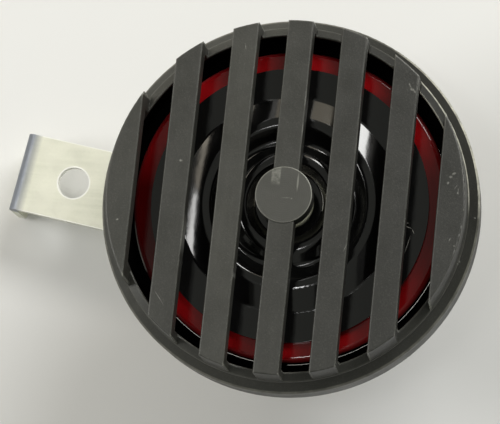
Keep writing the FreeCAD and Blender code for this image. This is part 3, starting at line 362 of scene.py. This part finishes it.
def makeGrilleMaterial():
    look = grilleLook
    material, tree, shader = newMaterial("mouldedBlack")
    setShader(shader, {"specular": look["specular"]})
    radius, height, across, along = fromAxis(tree)
    toCorner = towards(tree, across, along, radius, look["cornerWay"])
    clouds = noise(tree, look["cloudSize"], 4, 0.6)
    streaks = noise(tree, look["streakSize"], 4, 0.65, stretch=(1, 0.10, 1))
    patchy = times(tree, span(tree, clouds, 0.35, 0.7, 0.2, 1.0), span(tree, streaks, 0.3, 0.75, 0.4, 1.0))
    base = blendColours(tree, patchy, look["colour"], look["faded"])

    # painted shade on each bar and along the rim towards the right, together with the dark smears
    onBars = compute(tree, "GREATER_THAN", height, barFront - look["barDepth"])
    onRim = compute(tree, "SUBTRACT", 1.0, onBars)
    paintedRimShade = span(tree, across, look["rimShadeFrom"], look["rimShadeTo"], 0.0, look["rimShade"])
    shadeAndSmears = compute(tree, "ADD", times(tree, onBars, paintedBarShades(tree, across)), times(tree, onRim, paintedRimShade))
    for darkTone in look["smears"]:
        shadeAndSmears = largest(tree, shadeAndSmears, times(tree, mark(tree, *darkTone), look["smearStrength"]))
    base = blendColours(tree, shadeAndSmears, base, look["darkTone"])
    grain = span(tree, noise(tree, look["mottleSize"], 3, 0.7), 0.3, 0.7, -0.5, 0.5)
    mottle = times(tree, compute(tree, "ABSOLUTE", grain), look["mottleStrength"])
    base = blendColours(tree, mottle, base, look["mottle"])

    front = compute(tree, "GREATER_THAN", height, barFront + lineSoftness)
    onBoss = times(tree, front,
                   compute(tree, "LESS_THAN", radius, look["bossRadius"] + look["bossMargin"]))
    base = dressBoss(tree, base, onBoss, radius, across, along, toCorner)

    # rubbed edges with a painted highlight: most on the rim and the bars' right sides, and at the rim's upper
    # right
    onEdgeOfRim = compute(tree, "GREATER_THAN", radius, look["rimRadius"])
    shallow = compute(tree, "GREATER_THAN", height, barFront - look["edgeDepth"])
    worn = times(tree, ridges(tree, look["edgeReach"], 0.12, 0.32), largest(tree, onEdgeOfRim, shallow))
    facing = node(tree, "ShaderNodeVectorMath", {"operation": "DOT_PRODUCT"}, {1: look["highlightWay"]})
    link(tree, node(tree, "ShaderNodeNewGeometry").outputs["Normal"], facing.inputs[0])
    # painted highlight on the rim's edges at the upper right
    cornerHighlight = times(tree, onEdgeOfRim, span(tree, toCorner, *look["cornerSpan"], 0.0, look["cornerStrength"]))
    lit = span(tree, facing.outputs["Value"], -0.5, 0.6, *look["highlightStrength"])
    wearAndHighlight = compute(tree, "ADD", lit, cornerHighlight)
    uneven = span(tree, noise(tree, look["wearSize"], 4, 0.65), 0.36, 0.64, 0.45, 1.0)
    # painted shade on the rim's face, darkest towards the upper right
    deep = compute(tree, "LESS_THAN", height, barFront - look["shadeDepth"])
    shade = times(tree, deep, span(tree, toCorner, 0.35, 0.90, 0.0, look["shadeStrength"]))
    base = blendColours(tree, shade, base, look["shade"])
    base = blendColours(tree, times(tree, worn, uneven, wearAndHighlight), base, look["edge"])
    # painted highlight lines along the rim's edges, strongest at the upper right
    for low, high, top, bottom, everywhere in look["rimHighlightLines"]:
        line = times(tree, within(tree, radius, low, high, lineSoftness),
                     within(tree, height, barFront - bottom, barFront - top, lineSoftness))
        strong = times(tree, uneven, span(tree, toCorner, *look["cornerSpan"], everywhere, 1.0))
        base = blendColours(tree, times(tree, line, strong), base, look["rimHighlight"])

    # dust and marks
    marks = times(tree, specks(tree, look["speckSize"], look["speckShare"], look["speckReach"]),
                  compute(tree, "SUBTRACT", 1.0, onBoss))
    for place in look["marks"]:
        marks = largest(tree, marks, mark(tree, *place))
    ragged = span(tree, noise(tree, look["raggedSize"], 3, 0.7), 0.35, 0.6, 0.1, 0.75)
    base = blendColours(tree, times(tree, marks, ragged), base, look["dust"])

    # painted shade: the channel is painted near black and made dull
    channelTop = barFront - look["channelHeight"]
    sideways, upwards = look["channelFade"]
    inside = times(tree, span(tree, radius, look["channelRadius"], look["channelRadius"] - sideways, 0.0, 1.0),
                   span(tree, height, channelTop + upwards, channelTop, 0.0, 1.0))
    link(tree, blendColours(tree, inside, base, look["channelShade"]), shader.inputs["Base Color"])
    shine = times(tree, span(tree, inside, 0.0, 1.0, look["specular"], 0.0),
                  span(tree, shade, 0.0, look["shadeStrength"], 1.0, 0.25))
    link(tree, shine, shader.inputs["Specular IOR Level"])

    rough = unevenRough(tree, look, look["rough"])
    polished = span(tree, worn, 0.0, 1.0, 1.0, look["edgeRough"] / look["rough"])
    link(tree, times(tree, rough, polished), shader.inputs["Roughness"])
    wave, fine = noise(tree, look["waveSize"], 2), noise(tree, look["grainSize"], 3, 0.6)
    bumps(tree, shader, [(wave, *look["wave"]), (fine, *look["grain"])], rounding=look["rounding"])
    return material


# the clamp ring: red lacquer over pressed steel, dull at its outer bend, with painted shade there, at the
# lower left and at the right, and a short painted glint at the left
ringLook = {
    "colour": (0.28, 0.005, 0.007),
    "rough": 0.10,
    "specular": 0.5,
    "deep": (0.145, 0.002, 0.003),  # where the lacquer has pooled
    "poolSize": 0.011,
    "paintedShade": (0.045, 0.001, 0.001),  # painted shade at the lower left, and less at the right
    "shadeLeft": (-0.020, -0.036, 0.0, 0.85),  # across: from, to, and how much painted shade it gets there
    "shadeLow": (0.012, 0.002, 0.0, 1.0),  # the same along the bars
    "shadeRight": (0.022, 0.036, 0.0, 0.35),
    "edge": (0.30, 0.24, 0.22),
    "rub": {"reach": 0.0004, "low": 0.05, "high": 0.35, "broken": 0.52, "strength": 0.8},
    # painted shade on the outer bend
    "outerBendShade": (0.006, 0.003, 0.003),
    "outerBendRadius": 0.0416,
    "outerBendShadeFade": 0.0001,
    "outerBendRough": 0.6,
    "roughFrom": 0.0009,  # inside the outer bend's radius
    "roughTo": 0.0004,
    "glint": (0.80, 0.77, 0.72),  # a short painted glint at the left, on the outer bend
    "glintWay": (-0.94, -0.342),
    "glintSpan": (0.984, 0.994),
    "glintWidth": (0.0002, 0.0003),  # inside and outside the outer bend's radius
    "peel": (0.10, 0.0002),
    "peelSize": 0.0016,
}


def makeRingMaterial():
    look = ringLook
    material, tree, shader = newMaterial("redLacquer")
    radius, _, across, along = fromAxis(tree)
    pooled = span(tree, noise(tree, look["poolSize"], 3, 0.55), 0.35, 0.7, 0.0, 0.55)
    base = blendColours(tree, pooled, look["colour"], look["deep"])
    # painted shade at the lower left and, less, at the right
    lowerLeft = times(tree, span(tree, across, *look["shadeLeft"]), span(tree, along, *look["shadeLow"]))
    base = blendColours(tree, lowerLeft, base, look["paintedShade"])
    base = blendColours(tree, rubbedEdges(tree, look["rub"]), base, look["edge"])
    base = blendColours(tree, span(tree, across, *look["shadeRight"]), base, look["paintedShade"])

    # painted glint: a short pale line on the outer bend at the left
    toGlint = towards(tree, across, along, radius, look["glintWay"])
    inner, outer = look["glintWidth"]
    glint = times(tree, span(tree, toGlint, *look["glintSpan"], 0.0, 1.0),
                 within(tree, radius, look["outerBendRadius"] - inner, look["outerBendRadius"] + outer, lineSoftness))
    # painted shade: the outer bend is painted near black beyond its radius
    outerBendShade = span(tree, radius, look["outerBendRadius"], look["outerBendRadius"] + look["outerBendShadeFade"], 0.0, 1.0)
    base = blendColours(tree, glint, blendColours(tree, outerBendShade, base, look["outerBendShade"]), look["glint"])
    link(tree, base, shader.inputs["Base Color"])
    dull = span(tree, radius, look["outerBendRadius"] - look["roughFrom"],
                look["outerBendRadius"] - look["roughTo"], look["rough"], look["outerBendRough"])
    link(tree, dull, shader.inputs["Roughness"])
    link(tree, span(tree, outerBendShade, 0.0, 1.0, look["specular"], 0.0), shader.inputs["Specular IOR Level"])
    bumps(tree, shader, [(noise(tree, look["peelSize"], 2, 0.5), *look["peel"])])
    return material


# the tone disc: black enamel with a mirror gloss, a little dust and one scratch
discLook = {
    "colour": (0.004, 0.004, 0.004),
    "rough": 0.10,
    "specular": 0.82,
    "haze": 0.06,
    "hazeSize": 0.009,
    "peel": (0.075, 0.0005),
    "peelSize": 0.0036,
    "dust": (0.24, 0.23, 0.21),
    "speckSize": 0.0028,
    "speckShare": 0.05,
    "speckReach": 0.06,
    "speckStrength": 0.8,
    "scratches": (  # as the grille's marks
        (31.9, -3.7, 1.1, 0.13, -19), (33.15, -4.7, 0.8, 0.13, -62), (32.0, -8.2, 2.8, 0.08, 76),
        (31.2, -2.6, 0.9, 0.09, 5),
    ),
}


def makeDiscMaterial():
    look = discLook
    material, tree, shader = newMaterial("glossBlackEnamel")
    setShader(shader, {"specular": look["specular"]})
    dust = times(tree, specks(tree, look["speckSize"], look["speckShare"], look["speckReach"]),
                 look["speckStrength"])
    for scratch in look["scratches"]:
        dust = largest(tree, dust, mark(tree, *scratch))
    link(tree, blendColours(tree, dust, look["colour"], look["dust"]), shader.inputs["Base Color"])
    haze = span(tree, noise(tree, look["hazeSize"], 4, 0.6), 0.35, 0.75,
                look["rough"], look["rough"] + look["haze"])
    link(tree, haze, shader.inputs["Roughness"])
    bumps(tree, shader, [(noise(tree, look["peelSize"], 2, 0.45), *look["peel"])])
    return material


# the housing: plain black lacquer, duller than the disc
housingLook = {
    "colour": (0.017, 0.017, 0.017),
    "second": (0.035, 0.034, 0.032),
    "cloudSize": 0.012,
    "rough": 0.34,
    "roughNoise": (0.006, 3, 0.6),
    "roughSpread": (-0.08, 0.1),
    "coat": 0.35,
    "coatRough": 0.16,
    "edge": (0.10, 0.10, 0.10),
    "rub": {"reach": 0.0005, "low": 0.06, "high": 0.4, "broken": 0.5, "strength": 0.9},
    "peel": (0.16, 0.0002),
    "peelSize": 0.0011,
}


def makeHousingMaterial():
    look = housingLook
    material, tree, shader = newMaterial("blackLacquer")
    setShader(shader, {key: look[key] for key in ("rough", "coat", "coatRough")})
    clouds = span(tree, noise(tree, look["cloudSize"], 4, 0.6), 0.4, 0.7, 0.0, 0.35)
    base = blendColours(tree, clouds, look["colour"], look["second"])
    base = blendColours(tree, rubbedEdges(tree, look["rub"]), base, look["edge"])
    link(tree, base, shader.inputs["Base Color"])
    link(tree, unevenRough(tree, look, look["rough"]), shader.inputs["Roughness"])
    bumps(tree, shader, [(noise(tree, look["peelSize"], 3, 0.55), *look["peel"])], coat=True)
    return material


# the strap: satin zinc over rolled steel, with the mill's fine lines along it, a painted highlight round the
# hole and painted shade and reflection on the outside of its bend
strapLook = {
    "bright": (0.82, 0.82, 0.70),
    "dull": (0.64, 0.65, 0.54),
    "cloudSize": 0.006,
    "metal": 0.55,
    "rough": 0.45,
    "roughNoise": (0.003, 4, 0.65),
    "roughSpread": (-0.07, 0.10),
    "lines": (0.12, 0.0001),
    "lineSize": 0.0011,
    "grain": (0.10, 0.0001),
    "grainSize": 0.0007,
    # for brighter edges, and for the painted highlight round the hole
    "edge": (0.97, 0.97, 0.93),
    "edgeStrength": 0.85,
    "edgeReach": 0.0005,
    "holeRadius": 0.0045,
    "holeRim": 0.0005,
    "bend": (0.12, 0.14, 0.20),  # painted shade with a bluish painted reflection on the outside of the bend
    "bendStrength": 0.85,
    "bendFrom": -0.0120,  # from the hole, along the strap
    "bendTo": -0.0148,
    "bendHeights": (-0.0045, -0.0015),
}


def makeStrapMaterial():
    look = strapLook
    material, tree, shader = newMaterial("satinZinc")
    setShader(shader, {"metal": look["metal"], "rough": look["rough"]})
    lines = noise(tree, look["lineSize"], 4, 0.6, stretch=(0.05, 1, 1), turn=(0, 0, strapTurn))
    clouds = noise(tree, look["cloudSize"], 4, 0.6)
    tone = times(tree, span(tree, clouds, 0.38, 0.66, 0.0, 1.0), span(tree, lines, 0.3, 0.7, 0.4, 1.0))
    base = blendColours(tree, tone, look["bright"], look["dull"])

    strapPlace = node(tree, "ShaderNodeSeparateXYZ")
    link(tree, places(tree, turn=(0, 0, strapTurn)), strapPlace.inputs["Vector"])
    lengthwise, sideways, height = strapPlace.outputs
    # painted highlight round the hole's chamfer, together with brighter rounded edges
    holeHighlight = span(tree, distance(tree, lengthwise, sideways), look["holeRadius"] + look["holeRim"],
               look["holeRadius"] + look["holeRim"] * 0.4, 0.0, 1.0)
    bright = largest(tree, holeHighlight, ridges(tree, look["edgeReach"], 0.12, 0.35))
    base = blendColours(tree, times(tree, bright, look["edgeStrength"]), base, look["edge"])
    # painted shade and painted reflection on the outside of the bend
    bend = times(tree, span(tree, lengthwise, look["bendFrom"], look["bendTo"], 0.0, look["bendStrength"]),
                 span(tree, height, *look["bendHeights"], 0.0, 1.0))
    link(tree, blendColours(tree, bend, base, look["bend"]), shader.inputs["Base Color"])
    link(tree, unevenRough(tree, look, look["rough"]), shader.inputs["Roughness"])
    grain = noise(tree, look["grainSize"], 3, 0.6)
    bumps(tree, shader, [(lines, *look["lines"]), (grain, *look["grain"])])
    return material


# the small metal pieces
metalLooks = {
    "brightZinc": {"bright": (0.86, 0.84, 0.76), "dull": (0.66, 0.65, 0.58),
                   "edge": (0.95, 0.94, 0.90), "rough": 0.24},
    # the cup washer's dull zinc, partly painted light: made paler so it shows pale in the shade under the boss
    "dullZinc": {"bright": (0.92, 0.92, 0.72), "dull": (0.76, 0.75, 0.57),
                 "edge": (0.95, 0.94, 0.88), "rough": 0.46, "metal": 0.3},
    "plainSteel": {"bright": (0.60, 0.60, 0.60), "dull": (0.42, 0.41, 0.40),
                   "edge": (0.75, 0.75, 0.74), "rough": 0.30, "stretch": (1, 1, 4)},
    "softIron": {"bright": (0.40, 0.40, 0.40), "dull": (0.27, 0.26, 0.25),
                 "edge": (0.55, 0.55, 0.54), "rough": 0.42, "stretch": (1, 1, 5)},
    "springSteel": {"bright": (0.55, 0.56, 0.58), "dull": (0.42, 0.43, 0.45),
                    "edge": (0.7, 0.7, 0.7), "rough": 0.26},
    "tungsten": {"bright": (0.50, 0.50, 0.52), "dull": (0.36, 0.36, 0.38),
                 "edge": (0.6, 0.6, 0.6), "rough": 0.38},
    "brass": {"bright": (0.79, 0.58, 0.27), "dull": (0.55, 0.38, 0.17),
              "edge": (0.92, 0.76, 0.44), "rough": 0.30},
}
metalWear = {
    "cloudSize": 0.003,
    "edgeReach": 0.0003,
    "edgeStrength": 0.6,
    "roughNoise": (0.0016, 3, 0.6),
    "roughSpread": (-0.06, 0.09),
    "marks": (0.12, 0.0001),
    "markSize": 0.0008,
}


def makeMetal(name, look):
    wear = metalWear
    material, tree, shader = newMaterial(name)
    setShader(shader, {"metal": look.get("metal", 1.0)})
    clouds = span(tree, noise(tree, wear["cloudSize"], 4, 0.6), 0.35, 0.7, 0.0, 1.0)
    base = blendColours(tree, clouds, look["bright"], look["dull"])
    rub = times(tree, edges(tree, wear["edgeReach"], 0.04, 0.3), wear["edgeStrength"])
    link(tree, blendColours(tree, rub, base, look["edge"]), shader.inputs["Base Color"])
    link(tree, unevenRough(tree, wear, look["rough"]), shader.inputs["Roughness"])
    marks = noise(tree, wear["markSize"], 3, 0.6, stretch=look.get("stretch", (1, 1, 1)))
    bumps(tree, shader, [(marks, *wear["marks"])])
    return material


# the plastic, board and paper pieces
mouldedLooks = {
    "terminalPlastic": {"colour": (0.022, 0.022, 0.023), "second": (0.04, 0.04, 0.04), "rough": 0.42,
                        "grainSize": 0.0006, "grain": (0.18, 0.0002)},
    "bobbinPlastic": {"colour": (0.62, 0.57, 0.44), "second": (0.50, 0.45, 0.34), "rough": 0.45,
                      "grainSize": 0.0008, "grain": (0.12, 0.0002)},
    "pressedBoard": {"colour": (0.20, 0.095, 0.045), "second": (0.12, 0.055, 0.028), "rough": 0.62,
                     "grainSize": 0.0006, "grain": (0.35, 0.0002), "stretch": (0.2, 1, 1)},
    "gasketPaper": {"colour": (0.36, 0.29, 0.20), "second": (0.25, 0.20, 0.14), "rough": 0.85,
                    "grainSize": 0.0005, "grain": (0.4, 0.0002)},
}
mouldedCloudSize = 0.004


def makeMoulded(name, look):
    material, tree, shader = newMaterial(name)
    setShader(shader, {"rough": look["rough"]})
    clouds = span(tree, noise(tree, mouldedCloudSize, 4, 0.6), 0.35, 0.7, 0.0, 1.0)
    link(tree, blendColours(tree, clouds, look["colour"], look["second"]), shader.inputs["Base Color"])
    grain = noise(tree, look["grainSize"], 3, 0.6, stretch=look.get("stretch", (1, 1, 1)))
    bumps(tree, shader, [(grain, *look["grain"])])
    return material


# the winding: enamelled copper wire, drawn by waves along the coil
windingLook = {
    "colour": (0.56, 0.20, 0.075),
    "dark": (0.22, 0.07, 0.03),
    "wire": 0.00045,
    "wander": 0.25,
    "metal": 0.6,
    "rough": 0.3,
    "coat": 0.6,
    "relief": (0.7, 0.0002),
}


def makeWindingMaterial():
    look = windingLook
    material, tree, shader = newMaterial("enamelledWire")
    setShader(shader, {key: look[key] for key in ("metal", "rough", "coat")})
    waveScale = math.pi / (10 * look["wire"])  # a wave is pi / 10 long at scale 1
    rings = node(tree, "ShaderNodeTexWave",
                 {"wave_type": "BANDS", "bands_direction": "Z", "wave_profile": "SIN"},
                 {"Scale": waveScale, "Distortion": look["wander"]})
    link(tree, places(tree), rings.inputs["Vector"])
    base = blendColours(tree, rings.outputs["Fac"], look["dark"], look["colour"])
    link(tree, base, shader.inputs["Base Color"])
    bumps(tree, shader, [(rings.outputs["Fac"], *look["relief"])])
    return material


def dress(names, material):
    for name in names:
        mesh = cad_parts[name].data
        mesh.materials.clear()
        mesh.materials.append(material)


metals = {name: makeMetal(name, look) for name, look in metalLooks.items()}
moulded = {name: makeMoulded(name, look) for name, look in mouldedLooks.items()}
dress(["front_grille"], makeGrilleMaterial())
dress(["clamp_ring"], makeRingMaterial())
dress(["tone_disc"], makeDiscMaterial())
dress(["housing"], makeHousingMaterial())
dress(["mounting_bracket"], makeStrapMaterial())
dress(["cup_washer"], metals["dullZinc"])
dress(["spindle_nut", "mounting_nut", "spring_washer", "adjusting_screw", "pole_core"],
      metals["brightZinc"])
dress(["spindle", "spindle_spacer", "fixed_contact_arm"], metals["plainSteel"])
dress(["armature"], metals["softIron"])
dress(["diaphragm", "coil_retainer", "moving_contact_spring"], metals["springSteel"])
dress(["contact_points"], metals["tungsten"])
dress(["contact_rivets", "adjuster_bush", "left_terminal_blade", "right_terminal_blade",
       "terminal_rivets"], metals["brass"])
dress(["terminal_block"], moulded["terminalPlastic"])
dress(["coil_bobbin"], moulded["bobbinPlastic"])
dress(["contact_block", "middle_insulator", "top_insulator", "terminal_insulator"],
      moulded["pressedBoard"])
dress(["lower_gasket", "upper_gasket"], moulded["gasketPaper"])
dress(["coil_winding"], makeWindingMaterial())
print("materials on")


# the floor, just under the strap's leg
floorLook = {"colour": (0.72, 0.72, 0.71), "rough": 0.9, "specular": 0.2, "size": 8.0, "play": 0.0002}


def makeFloor():
    look = floorLook
    mesh = bpy.data.meshes.new("floor")
    form = bmesh.new()
    bmesh.ops.create_grid(form, x_segments=1, y_segments=1, size=look["size"] / 2)
    form.to_mesh(mesh)
    form.free()
    floor = bpy.data.objects.new("floor", mesh)
    floor.location = (hornAxis.x, hornAxis.y, cadLow.z - look["play"])
    bpy.context.scene.collection.objects.link(floor)
    material, _, shader = newMaterial("paleFloor")
    setShader(shader, {key: look[key] for key in ("colour", "rough", "specular")})
    mesh.materials.append(material)


# the light: a pale sky and five soft lamps, in metres, degrees and watts
skyLook = {"colour": (0.98, 1.0, 0.90), "strength": 0.22}
lampSettings = {
    "rightWindow": {"turn": 146, "height": 41, "distance": 1.0, "size": (0.70, 0.42), "power": 8.6,
                    "colour": (1.0, 1.0, 0.98)},
    "leftWindow": {"turn": -88, "height": 40, "distance": 1.0, "size": (0.50, 0.44), "power": 4.4,
                   "colour": (1.0, 0.99, 0.97)},
    "warmWall": {"turn": 182, "height": 36, "distance": 1.2, "size": (0.9, 0.38), "power": 0.9,
                 "colour": (1.0, 0.88, 0.68)},
    "warmCorner": {"turn": -132, "height": 34, "distance": 1.2, "size": (1.0, 0.35), "power": 2.0,
                   "colour": (1.0, 0.90, 0.74)},
    "overhead": {"turn": -21, "height": 81, "distance": 1.0, "size": (0.16, 0.06), "power": 0.5,
                 "colour": (1.0, 1.0, 1.0)},
}


def aim(thing, target, look, roll=0.0):
    # turn 0 stands on the -Y side, 90 on the +X side; height is the angle above the floor
    around, up = math.radians(look["turn"]), math.radians(look["height"])
    back = Vector((math.sin(around) * math.cos(up), -math.cos(around) * math.cos(up), math.sin(up)))
    thing.location = target + back * look["distance"]
    thing.rotation_mode = "QUATERNION"
    tracked = (-back).to_track_quat("-Z", "Y").to_matrix()
    thing.rotation_quaternion = (tracked @ Matrix.Rotation(math.radians(roll), 3, "Z")).to_quaternion()


def makeLights():
    world = bpy.data.worlds.new("studio")
    bpy.context.scene.world = world
    world.use_nodes = True
    sky = world.node_tree.nodes["Background"]
    sky.inputs["Color"].default_value = (*skyLook["colour"], 1)
    sky.inputs["Strength"].default_value = skyLook["strength"]
    target = Vector((hornAxis.x, hornAxis.y, barFront))
    for name, look in lampSettings.items():
        lamp = bpy.data.lights.new(name, "AREA")
        lamp.shape = "ELLIPSE"
        lamp.size, lamp.size_y = look["size"]
        lamp.energy = look["power"]
        lamp.color = look["colour"]
        holder = bpy.data.objects.new(name, lamp)
        bpy.context.scene.collection.objects.link(holder)
        aim(holder, target, look)


# the camera stands where the photo was taken from
cameraLook = {
    "turn": 38.7797,
    "height": 76.4609,
    "roll": -33.581,
    "distance": 0.63524,
    "lens": 177.47,
    "sensor": 36,
    "nearest": 0.01,
    "aimAcross": -0.008217,  # aim on the bars' front, from the axis
    "aimAlong": -0.005194,
}


def makeCamera():
    look = cameraLook
    camera = bpy.data.cameras.new("camera")
    camera.lens = look["lens"]
    camera.sensor_width = look["sensor"]
    camera.clip_start = look["nearest"]
    holder = bpy.data.objects.new("camera", camera)
    bpy.context.scene.collection.objects.link(holder)
    target = Vector((hornAxis.x + look["aimAcross"], hornAxis.y + look["aimAlong"], barFront))
    aim(holder, target, look, look["roll"])
    bpy.context.scene.camera = holder


makeFloor()
makeLights()
makeCamera()
bpy.context.scene.view_settings.view_transform = "Standard"
print("floor, light and camera set")
